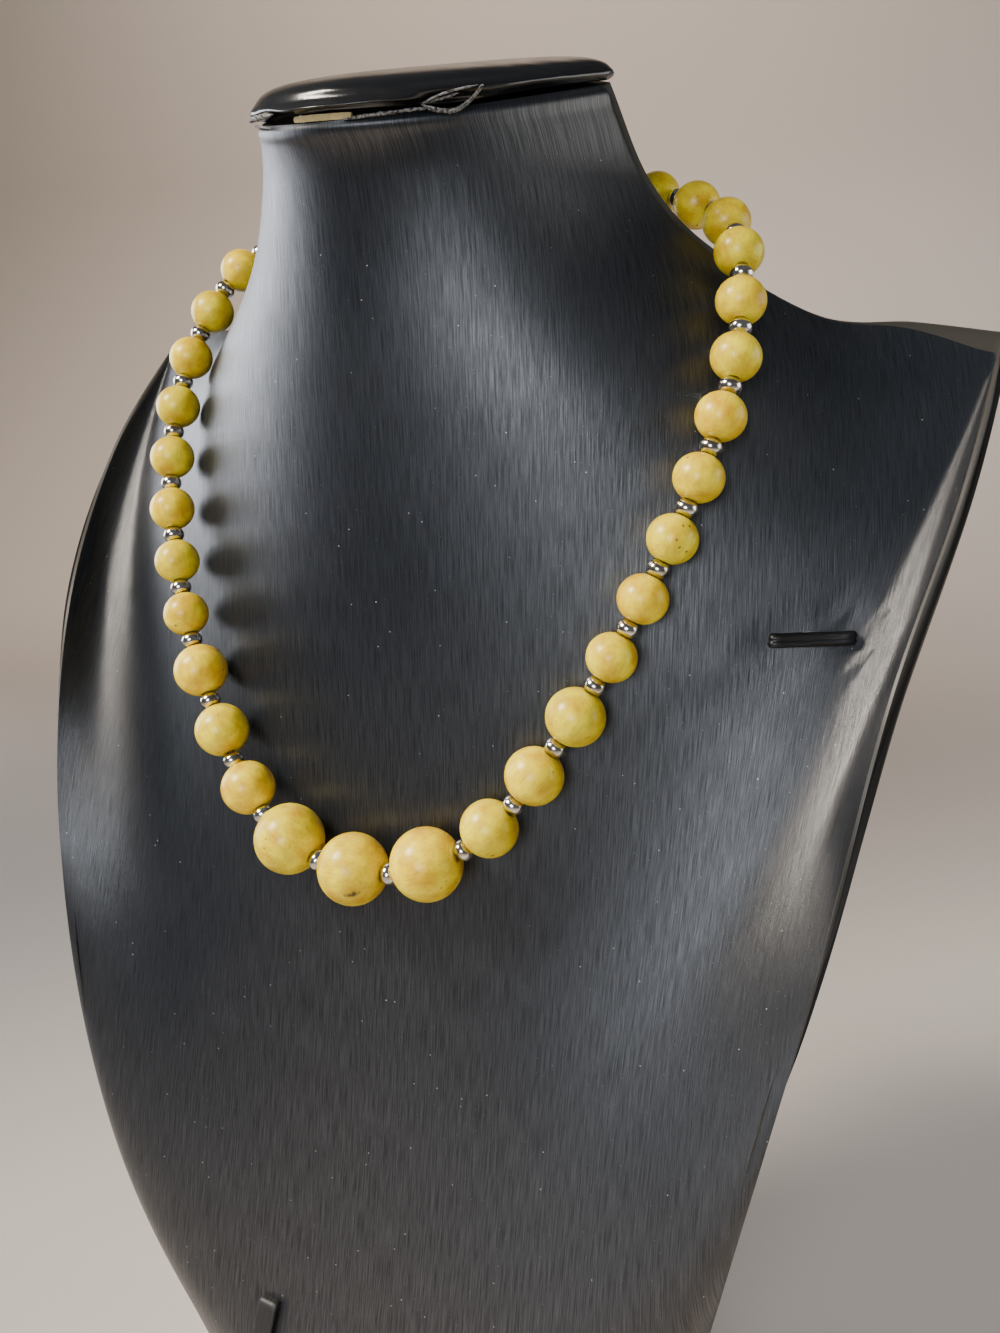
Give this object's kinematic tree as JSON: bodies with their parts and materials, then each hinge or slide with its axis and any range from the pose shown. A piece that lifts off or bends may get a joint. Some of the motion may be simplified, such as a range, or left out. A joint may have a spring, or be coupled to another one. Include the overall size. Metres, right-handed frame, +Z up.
{
  "type": "beaded necklace on a neck bust",
  "caption": "Necklace of round drilled wooden beads, larger at the front, with small silver spacers between them, lying on a hollow black leatherette neck bust.",
  "frame": {"origin": "middle of the bounding box in X and Y, on the surface that the bust stands on", "axes": "+X towards the necklace wearer's left, +Y backwards from the chest, +Z up along the neck"},
  "size_m": [0.2194, 0.0882, 0.2952],
  "materials": {
    "painted_wood": "mustard yellow stain under a soft satin lacquer, with faint grain and brown specks",
    "silver_plate": "polished silver plate",
    "leatherette": "black leatherette with a fine upright brushed grain and a soft sheen",
    "padded_leatherette": "glossy black leatherette over padding",
    "covered_board": "board covered in matte black leatherette",
    "lace": "black lace and band, slightly glossy"
  },
  "bodies": {
    "root": {"bust_panel": "leatherette", "neck_back": "covered_board", "neck_cap": "padded_leatherette", "easel_leg": "covered_board", "side_strap": "lace", "foot_strap": "lace", "spacer_string": "silver_plate", "barrel_clasp": "silver_plate", "bead_01": "painted_wood", "bead_02": "painted_wood", "bead_03": "painted_wood", "bead_04": "painted_wood", "bead_05": "painted_wood", "bead_06": "painted_wood", "bead_07": "painted_wood", "bead_08": "painted_wood", "bead_09": "painted_wood", "bead_10": "painted_wood", "bead_11": "painted_wood", "bead_12": "painted_wood", "bead_13": "painted_wood", "bead_14": "painted_wood", "bead_15": "painted_wood", "bead_16": "painted_wood", "bead_17": "painted_wood", "bead_18": "painted_wood", "bead_19": "painted_wood", "bead_20": "painted_wood", "bead_21": "painted_wood", "bead_22": "painted_wood", "bead_23": "painted_wood", "bead_24": "painted_wood", "bead_25": "painted_wood", "bead_26": "painted_wood", "bead_27": "painted_wood", "bead_28": "painted_wood", "bead_29": "painted_wood", "bead_30": "painted_wood", "bead_31": "painted_wood", "bead_32": "painted_wood", "bead_33": "painted_wood", "bead_34": "painted_wood", "bead_35": "painted_wood"}
  },
  "joints": []
}
